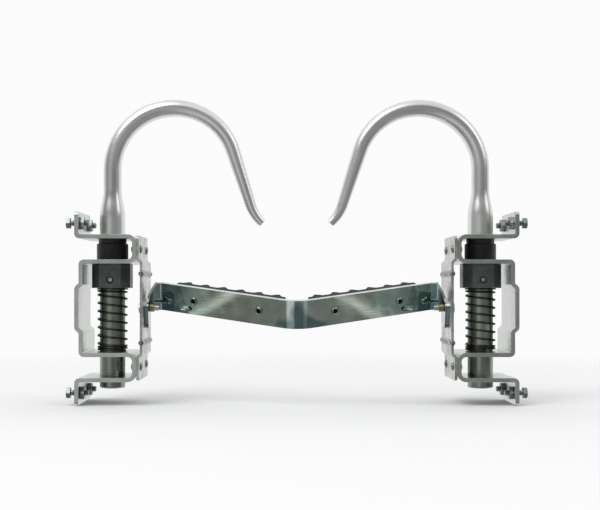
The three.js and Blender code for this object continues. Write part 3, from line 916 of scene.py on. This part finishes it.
def hook_radii(total):
    """Radii at places along the hook's middle line."""
    foot = SHAFT_HIGH.z - SPIGOT_LENGTH
    seat = SPIGOT_LENGTH + GAP
    stem = ARCH_FOOT - foot
    arch = ARCH_RADIUS * ARCH_TURN
    edge = 0.5
    radii = [(0, SPIGOT_RADIUS), (seat - AXIAL, SPIGOT_RADIUS), (seat, SHAFT_RADIUS - edge)]
    radii += [(seat + edge, SHAFT_RADIUS)]
    steps = 10
    for k in range(steps + 1):
        share = k / steps
        eased = share * share * (3 - 2 * share)
        place = SHOULDER_HEIGHT + (NECK_HEIGHT - SHOULDER_HEIGHT) * share - foot
        radii.append((place, SHAFT_RADIUS + (NECK_RADIUS - SHAFT_RADIUS) * eased))
    radii += [(stem, NECK_RADIUS), (stem + arch / 2, CROWN_RADIUS), (stem + arch, ARCH_END_RADIUS)]
    radii += [(stem + arch + TIP_RUN, TIP_RADIUS), (total - END_CHAMFER, END_RADIUS)]
    return radii + [(total, END_RADIUS - END_CHAMFER)]


def hook(node, side):
    """A bar swept along the hook's middle line, thick at its neck and thin at its tip."""
    line = hook_line()
    radii = hook_radii(line[-1][0])
    sides = 44
    points = []
    places = sorted(set([point[0] for point in line] + [place for place, _ in radii]))
    for place in places:
        x, z, heading = on_line(line, place)
        radius = between(radii, place)
        for j in range(sides):
            angle = 2 * math.pi * j / sides
            across = radius * math.cos(angle)
            sideways = SHAFT_AXIS + x + across * math.sin(heading)
            upwards = z - across * math.cos(heading)
            points.append(Vector((sideways, -radius * math.sin(angle), upwards)))
    shape = (points, tube_faces(len(places), sides))
    piece(node, shape, side, POLISHED, f"{name_of(side)}_hook_column")


def on_line(line, place):
    """The x, z and heading at a distance along the hook's middle line."""
    for first, second in zip(line, line[1:]):
        if place <= second[0]:
            share = (place - first[0]) / (second[0] - first[0])
            return [a + (b - a) * share for a, b in zip(first[1:], second[1:])]
    return line[-1][1:]


def name_of(side):
    """The side's name in the names of nodes, bodies and joints."""
    return "left" if side < 0 else "right"


def on_column(rings, ring_shaped=False):
    """A body turned about the shaft's axis."""
    return moved(revolve(rings, 64, ring_shaped), (SHAFT_AXIS, 0, 0))


def hook_shaft(node, side):
    """A round shaft with a bore for the hook's spigot in its top."""
    bore = SPIGOT_RADIUS + GAP
    bottom = SHAFT_HIGH.z - SPIGOT_LENGTH - GAP
    rings = [
        (AXIAL, SHAFT_LOW.z),
        (SHAFT_RADIUS - 1.1, SHAFT_LOW.z),
        (SHAFT_RADIUS - 0.8, SHAFT_LOW.z + 0.1),
        (SHAFT_RADIUS - 0.1, SHAFT_LOW.z + 0.9),
        (SHAFT_RADIUS, SHAFT_LOW.z + 1.3),
        (SHAFT_RADIUS, SHAFT_HIGH.z),
        (bore, SHAFT_HIGH.z),
        (bore, bottom),
        (AXIAL, bottom),
    ]
    piece(node, on_column(rings), side, SHAFT, f"{name_of(side)}_hook_column")


def upper_bushing(node, side):
    """A bushing between the plates of the upper box, with a neck through the outer one."""
    low, high = span(node, side)
    outer = (high.x - low.x) / 2
    shoulder = OUTER_PLATE - STRIP / 2 - BUSHING_STEP
    rings = [
        (SHAFT_BORE, high.z),
        (SHAFT_BORE, low.z),
        (outer - 0.5, low.z),
        (outer, low.z + 0.5),
        (outer, shoulder - 0.6),
        (outer - 0.6, shoulder),
        (BUSHING_NECK, shoulder),
        (BUSHING_NECK, high.z - 0.3),
        (BUSHING_NECK - 0.3, high.z),
    ]
    piece(node, on_column(rings, ring_shaped=True), side, PLASTIC, "head_frame")


def lock_block(node, side):
    """An eight-sided block on the shaft, with a sunk screw in its front."""
    half = BLOCK_HIGH.y
    flat = half - BLOCK_CHAMFER
    quarter = [(half, -flat), (half, flat), (flat, half), (-flat, half)]
    outline = quarter + [(-x, -y) for x, y in quarter]
    shape = moved(prism(outline, BLOCK_LOW.z, BLOCK_HIGH.z), (SHAFT_AXIS, 0, 0))
    screw = middle_of(f"{name_of(side)}_set_screw", side)
    screw_axis = (SHAFT_AXIS, 0, screw.z)
    bore_ends = BLOCK_LOW.z - THROUGH, BLOCK_HIGH.z + THROUGH
    bore = bar(SHAFT_BORE, *bore_ends, "z", (SHAFT_AXIS, 0, 0), 64)
    screw_hole = bar(SCREW_RADIUS + 0.2, -half - THROUGH, 0, "y", screw_axis, 36)
    counterbore = bar(COUNTERBORE_RADIUS, -half - THROUGH, COUNTERBORE_DEPTH - half, "y", screw_axis, 36)
    obj = mesh_object(f"{node}_fine", shape, side)
    for cut in (bore, screw_hole, counterbore):
        carve(obj, [cut], side)
    finish(obj, node, BLOCK, f"{name_of(side)}_hook_column", edge=0.6)


def set_screw(node, side):
    """A screw with a cross slot."""
    low, high = span(node, side)
    middle = (low + high) / 2
    depth = high.y - low.y
    rings = [(AXIAL, 0), (SCREW_RADIUS - 0.4, 0), (SCREW_RADIUS - 0.1, 0.25), (SCREW_RADIUS, 0.5)]
    rings += [(SCREW_RADIUS, depth), (AXIAL, depth)]
    shape = moved(laid(revolve(rings, 36), "y"), (middle.x, low.y, middle.z))
    half = SLOT_WIDTH / 2
    cross = [(half, half), (SLOT_REACH, half), (SLOT_REACH, -half), (half, -half)]
    cross += [(half, -SLOT_REACH), (-half, -SLOT_REACH)]
    cross += [(-x, -z) for x, z in cross]
    slot = moved(prism(cross, low.y - THROUGH, low.y + SLOT_DEPTH, "y"), (middle.x, 0, middle.z))
    piece(node, shape, side, FASTENER, f"{name_of(side)}_hook_column", cuts=[slot])


def thrust_washer(node, side):
    """A flat ring between the lock block and the spring."""
    low, high = span(node, side)
    outer = (high.x - low.x) / 2
    inner = SHAFT_RADIUS + FIT
    chamfer = 0.2
    rings = [(inner, high.z), (inner, low.z), (outer - chamfer, low.z), (outer, low.z + chamfer)]
    rings += [(outer, high.z - chamfer), (outer - chamfer, high.z)]
    piece(node, on_column(rings, ring_shaped=True), side, SPRING, f"{name_of(side)}_carrier")


def return_spring(node, side):
    """Left-hand wound on both sides, with its end turns closed."""
    low, high = span(node, side)
    name = name_of(side)
    radius = (high.x - low.x) / 2 - WIRE / 2
    bottom = low.z + WIRE / 2
    top = high.z - WIRE / 2
    turns = BOTTOM_TURNS + ACTIVE_TURNS + TOP_TURNS
    pitch = (top - bottom - (BOTTOM_TURNS + TOP_TURNS) * CLOSED_PITCH) / ACTIVE_TURNS
    per_turn = 44
    steps = round(per_turn * turns)
    sides = 14
    points = []
    for i in range(steps + 1):
        turn = turns * i / steps
        opened = min(max(turn - BOTTOM_TURNS, 0), ACTIVE_TURNS)
        height = bottom + opened * pitch + (turn - opened) * CLOSED_PITCH
        angle = SPRING_START[name] - 2 * math.pi * turn
        outward = Vector((math.cos(angle) * side, math.sin(angle), 0))
        for j in range(sides):
            around = 2 * math.pi * j / sides
            at = outward * (radius + WIRE / 2 * math.cos(around))
            points.append(at + Vector((SHAFT_AXIS, 0, height + WIRE / 2 * math.sin(around))))
    obj = piece(node, (points, tube_faces(steps + 1, sides)), side, SPRING, "head_frame")
    height = high.z - low.z
    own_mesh(obj)


# ---- V-rung ----


def tilted():
    """From the V-rung's own frame, level and with its pivot at the origin, to the head's."""
    return Matrix.Translation((0, PIVOT_Y, 0)) @ Matrix.Rotation(RUNG_TILT, 4, "X")


def arm_frame():
    """From the right arm's frame, x along the arm from the virtual apex, to the V-rung's."""
    return Matrix.Translation((0, APEX, 0)) @ Matrix.Rotation(ARM_ANGLE, 4, "Z")


def mirrored(shape):
    """The same shape on the other side of the V-rung's middle."""
    points, faces = shape
    return [Vector((-p.x, p.y, p.z)) for p in points], faces


def rung_plan():
    """The bent strip seen from above, before its tabs and sloping edges are cut."""
    tab_middle = TAB_INNER + STRIP / 2
    half = [(tab_middle, TAB_FRONT - 1, 0), (tab_middle, RUNG_PANEL, END_BEND)]
    half.append((ARM_END, RUNG_PANEL, ARM_BEND))
    other = [(-x, y, radius) for x, y, radius in reversed(half)]
    return strip_outline(half + [(0, APEX, APEX_BEND)] + other, STRIP, 12)


def tab_outline():
    """Side view of an end tab with its bend, as (y, z)."""
    start = RUNG_PANEL - END_BEND
    back = RUNG_PANEL + STRIP
    outline = [(back, RUNG_TOP), (start, RUNG_TOP), (start, TAB_EDGE)]
    upper, lower, inner = TAB_ROUNDS
    outline += arc((TAB_FRONT + upper, TAB_EDGE - upper), upper, 90, 180)
    outline += arc((TAB_FRONT + lower, TAB_BOTTOM + lower), lower, 180, 270)
    outline += arc((start - inner, TAB_BOTTOM + inner), inner, 270, 360)
    return outline + [(start, RUNG_BOTTOM), (back, RUNG_BOTTOM)]


def slope_cutter():
    """Cuts the sloping top edge between the right arm and its end tab."""
    reach = (RUNG_TOP - TAB_EDGE) / SLOPE_FALL
    far = 30
    above = RUNG_TOP + 8
    outline = [(-THROUGH, RUNG_TOP + THROUGH * SLOPE_FALL), (reach, TAB_EDGE), (far, TAB_EDGE)]
    outline += [(far, above), (-THROUGH, above)]
    turn = Matrix.Rotation(-SLOPE_TURN, 4, "Z")
    place = Matrix.Translation((SLOPE_START, RUNG_PANEL - STRIP / 2, 0))
    return transformed(prism(outline, -far, far, "y"), place @ turn)


def v_rung():
    """A bent strip, cut to the height of its arms and the outline of its end tabs."""
    tab_end = TAB_INNER + STRIP + 1
    arm_limit = TAB_INNER - 0.5
    corners = [(arm_limit, RUNG_BOTTOM), (arm_limit, RUNG_TOP), (-arm_limit, RUNG_TOP)]
    corners.append((-arm_limit, RUNG_BOTTOM))
    far = 100
    envelope = [prism(corners, -far, far, "y")]
    cuts = [bar(PIVOT_RADIUS + FIT, -tab_end, tab_end, "x", sides=32)]
    for turn in (transformed, mirror_after):
        envelope.append(turn(prism(tab_outline(), TAB_INNER - 1, tab_end, "x"), Matrix.Identity(4)))
        cuts.append(turn(slope_cutter(), Matrix.Identity(4)))
        for place in PAD_RIVETS.values():
            hole = bar(RIVET_RADIUS + FIT, -THROUGH, THROUGH, "y", (place, 0, RUNG_MIDDLE), 28)
            cuts.append(turn(hole, arm_frame()))
    obj = mesh_object("v_rung_fine", prism(rung_plan(), TAB_BOTTOM, RUNG_TOP))
    carve(obj, envelope, operation="INTERSECT")
    carve(obj, cuts)
    obj.data.transform(Matrix.Scale(MM, 4) @ tilted() @ Matrix.Scale(1 / MM, 4))
    finish(obj, "v_rung", ZINC, "rung", edge=0.45)


def mirror_after(shape, matrix):
    """A shape placed by a matrix and then mirrored."""
    return mirrored(transformed(shape, matrix))


def on_arm(shape):
    """From the right arm's frame to the head's."""
    return transformed(shape, tilted() @ arm_frame())


def rung_pad(node, side):
    """A pad with rounded ribs on the back of an arm, and a round well for each rivet."""
    face = STRIP / 2 + FIT
    top = face + PAD_BASE
    pitch = PAD_LENGTH / RIB_COUNT
    foot = RIB_SHARE * pitch / 2
    steps = 16
    outline = [(PAD_START, face), (PAD_START + PAD_LENGTH, face), (PAD_START + PAD_LENGTH, top)]
    for i in reversed(range(RIB_COUNT)):
        middle = PAD_START + (i + 0.5) * pitch
        for k in range(steps + 1):
            share = 1 - 2 * k / steps
            rise = RIB_HEIGHT * (1 + math.cos(math.pi * share)) / 2
            outline.append((middle + share * foot, top + rise))
    outline.append((PAD_START, top))
    shape = on_arm(prism(outline, PAD_BOTTOM, RUNG_TOP))
    well = face + WASHER_SEAT, top + RIB_HEIGHT + THROUGH
    cuts = []
    for place in PAD_RIVETS.values():
        cuts.append(on_arm(bar(WASHER_WELL, *well, "y", (place, 0, RUNG_MIDDLE), 32)))
    piece(node, shape, side, RUBBER, "rung", edge=0.6, cuts=cuts)


def pad_rivet(node, side, place):
    """Blind rivet through arm and pad, with its hollow end on the front of the arm."""
    front = -STRIP / 2 - GAP
    back = STRIP / 2 + FIT + WASHER_SEAT + GAP
    hollow = front + HOLLOW_DEPTH
    rings = [(AXIAL, hollow), (RIVET_HOLLOW, hollow), (RIVET_HOLLOW, front - 1), (1.9, front - 1.3)]
    rings += [(2.2, front - 1.4), (2.65, front - 1.2), (3, front - 0.75), (3.15, front - 0.3), (3.2, front)]
    rings += [(RIVET_RADIUS, front), (RIVET_RADIUS, back), (4, back), (4.2, back + 0.2), (4.1, back + 0.7)]
    rings += [(3.5, back + 1.1), (AXIAL, back + 1.2)]
    shape = moved(laid(revolve(rings, 36), "y"), (place, 0, RUNG_MIDDLE))
    piece(node, on_arm(shape), side, DARK_FASTENER, "rung")


# ---- assembly ----


def build_side(name, side):
    """Every piece that exists once on each side."""
    rail_bracket(name, side)
    bridge_plate(name, side)
    for level in LEVELS:
        cross_pin(f"{name}_cross_pin_{level}", side)
        for face in FACES:
            bridge_rivet(f"{name}_bridge_rivet_{level}_{face}", side)
            tab_bolt(f"{name}_tab_bolt_{level}_{face}", side)
            tab_nut(f"{name}_tab_nut_{level}_{face}", side)
    pivot_pin(f"{name}_pivot_pin", side)
    pivot_collar(f"{name}_pivot_collar", side)
    hook(f"{name}_hook", side)
    hook_shaft(f"{name}_hook_shaft", side)
    upper_bushing(f"{name}_upper_bushing", side)
    lock_block(f"{name}_lock_block", side)
    set_screw(f"{name}_set_screw", side)
    thrust_washer(f"{name}_thrust_washer", side)
    return_spring(f"{name}_return_spring", side)
    rung_pad(f"{name}_rung_pad", side)
    for which, place in PAD_RIVETS.items():
        pad_rivet(f"{name}_pad_rivet_{which}", side, place)


# ---- studio ----

FLOOR_REACH = 1.4
FLOOR_WHITE = (0.93, 0.93, 0.93)
FLOOR_FADE = (0.2, 0.75)
BACKDROP = (0.97, 0.97, 0.97)
SURROUNDING_TONES = [(0.0, (0, 0, 0)), (0.4, (0.385, 0.405, 0.39)), (1.0, (0.96, 0.96, 0.97))]
SURROUNDING_STRENGTH = 0.95

# Directions of light: brightness at one value of an axis and at another, then those two values.
BEHIND = (0, 1, -0.2, 0.3)
ABOVE = (0, 0.95, 0.42, 0.75)
BELOW = (0.35, 0.2, -1, -0.3)
DIM_RIGHT = (1, 0.45, 0, 0.25)
IN_FRONT = (1, 0, -0.3, -0.1)

# Bands of light: middle, half width of the full band, half width where it is gone, and brightness.
HORIZON = (-0.04, 0.1, 0.28, 0.48)
LEFT_PANEL = (-0.38, 0.16, 0.3, 0.8)
RIGHT_PANEL = (0.5, 0.08, 0.18, 0.42)
LOW_DOWN = (-0.35, 0.35, 0.6, 1)
STRIP_SLANT = 1.67
STRIP_WIDTH = (0.005, 0.003, 0.012, 1)
STRIP_ENDS = (-0.45, 0.1, 0.2, 1)


def area_light(name, place, aim, size, power):
    """A rectangular light that points at aim."""
    data = bpy.data.lights.new(name, "AREA")
    data.shape = "RECTANGLE"
    data.size, data.size_y = size
    data.energy = power
    light = bpy.data.objects.new(name, data)
    light.location = place
    light.rotation_euler = (Vector(aim) - Vector(place)).to_track_quat("-Z", "Y").to_euler()
    bpy.context.scene.collection.objects.link(light)


def floor():
    """A pale floor just under the head, which fades out towards its rim and isn't mirrored in the metal."""
    mesh = bpy.data.meshes.new("floor")
    corners = [(x * FLOOR_REACH, y * FLOOR_REACH, 0) for x, y in ((-1, -1), (1, -1), (1, 1), (-1, 1))]
    mesh.from_pydata(corners, [], [(0, 1, 2, 3)])
    obj = bpy.data.objects.new("floor", mesh)
    obj.location.z = cad_box[0].z - MM
    obj.visible_glossy = False
    bpy.context.scene.collection.objects.link(obj)
    material, tree, shader = new_material("floor", Roughness=0.9, Specular_IOR_Level=0.0)
    shader.inputs["Base Color"].default_value = (*FLOOR_WHITE, 1)
    coordinates = tree.nodes.new("ShaderNodeTexCoord")
    distance = tree.nodes.new("ShaderNodeVectorMath")
    distance.operation = "LENGTH"
    tree.links.new(coordinates.outputs["Object"], distance.inputs[0])
    cover = spread(tree, distance.outputs["Value"], 1, 0, *FLOOR_FADE)
    clear = tree.nodes.new("ShaderNodeBsdfTransparent")
    mix = tree.nodes.new("ShaderNodeMixShader")
    tree.links.new(cover, mix.inputs["Fac"])
    tree.links.new(clear.outputs["BSDF"], mix.inputs[1])
    tree.links.new(shader.outputs["BSDF"], mix.inputs[2])
    tree.links.new(mix.outputs["Shader"], tree.nodes["Material Output"].inputs["Surface"])
    mesh.materials.append(material)


def lobe(tree, value, centre, flat, reach, height):
    """A bump of the given height around a centre, level out to flat and gone at reach."""
    away = combine(tree, "ABSOLUTE", combine(tree, "SUBTRACT", value, centre))
    return spread(tree, away, height, 0, flat, reach)


def surroundings(tree):
    """Brightness of what the head reflects: bright behind and above, with panels and strips low in front."""
    x, y, z = position(tree, "Generated")
    level = combine(tree, "ADD", combine(tree, "MULTIPLY", x, x), combine(tree, "MULTIPLY", y, y))
    sideways = combine(tree, "DIVIDE", x, combine(tree, "SQRT", level))
    behind = spread(tree, y, *BEHIND)
    above = spread(tree, z, *ABOVE)
    below = spread(tree, z, *BELOW)
    dimmer_right = spread(tree, sideways, *DIM_RIGHT)
    horizon = combine(tree, "MULTIPLY", lobe(tree, z, *HORIZON), dimmer_right)
    left_panel = lobe(tree, sideways, *LEFT_PANEL)
    right_panel = lobe(tree, sideways, *RIGHT_PANEL)
    panels = combine(tree, "MAXIMUM", left_panel, right_panel)
    raised = combine(tree, "MULTIPLY", z, STRIP_SLANT)
    slanted = combine(tree, "ADD", combine(tree, "ABSOLUTE", x), raised)
    strips = combine(tree, "MULTIPLY", lobe(tree, slanted, *STRIP_WIDTH), lobe(tree, z, *STRIP_ENDS))
    in_front = combine(tree, "MULTIPLY", spread(tree, y, *IN_FRONT), lobe(tree, z, *LOW_DOWN))
    result = combine(tree, "MULTIPLY", combine(tree, "MAXIMUM", panels, strips), in_front)
    for part in (behind, above, below, horizon):
        result = combine(tree, "MAXIMUM", result, part)
    return result


def world():
    """A plain backdrop for the camera, and surroundings that light the head and show in the metal."""
    scene_world = bpy.data.worlds.new("studio")
    bpy.context.scene.world = scene_world
    scene_world.use_nodes = True
    tree = scene_world.node_tree
    background = tree.nodes["Background"]
    tones = mixed(tree, surroundings(tree), SURROUNDING_TONES)
    tree.links.new(tones, background.inputs["Color"])
    background.inputs["Strength"].default_value = SURROUNDING_STRENGTH
    plain = tree.nodes.new("ShaderNodeBackground")
    plain.inputs["Color"].default_value = (*BACKDROP, 1)
    path = tree.nodes.new("ShaderNodeLightPath")
    mix = tree.nodes.new("ShaderNodeMixShader")
    tree.links.new(path.outputs["Is Camera Ray"], mix.inputs["Fac"])
    tree.links.new(background.outputs["Background"], mix.inputs[1])
    tree.links.new(plain.outputs["Background"], mix.inputs[2])
    tree.links.new(mix.outputs["Shader"], tree.nodes["World Output"].inputs["Surface"])


def studio():
    """World, floor and two lights."""
    bpy.context.scene.view_settings.view_transform = "Standard"
    world()
    floor()
    area_light("key", place=(-0.9, -0.9, 1.5), aim=(0, 0, 0.05), size=(1.1, 1.1), power=12)
    area_light("fill", place=(1.3, -0.5, 0.9), aim=(0, 0, 0.03), size=(0.6, 0.9), power=3)


for side_name, side_sign in SIDES.items():
    build_side(side_name, side_sign)
v_rung()
studio()
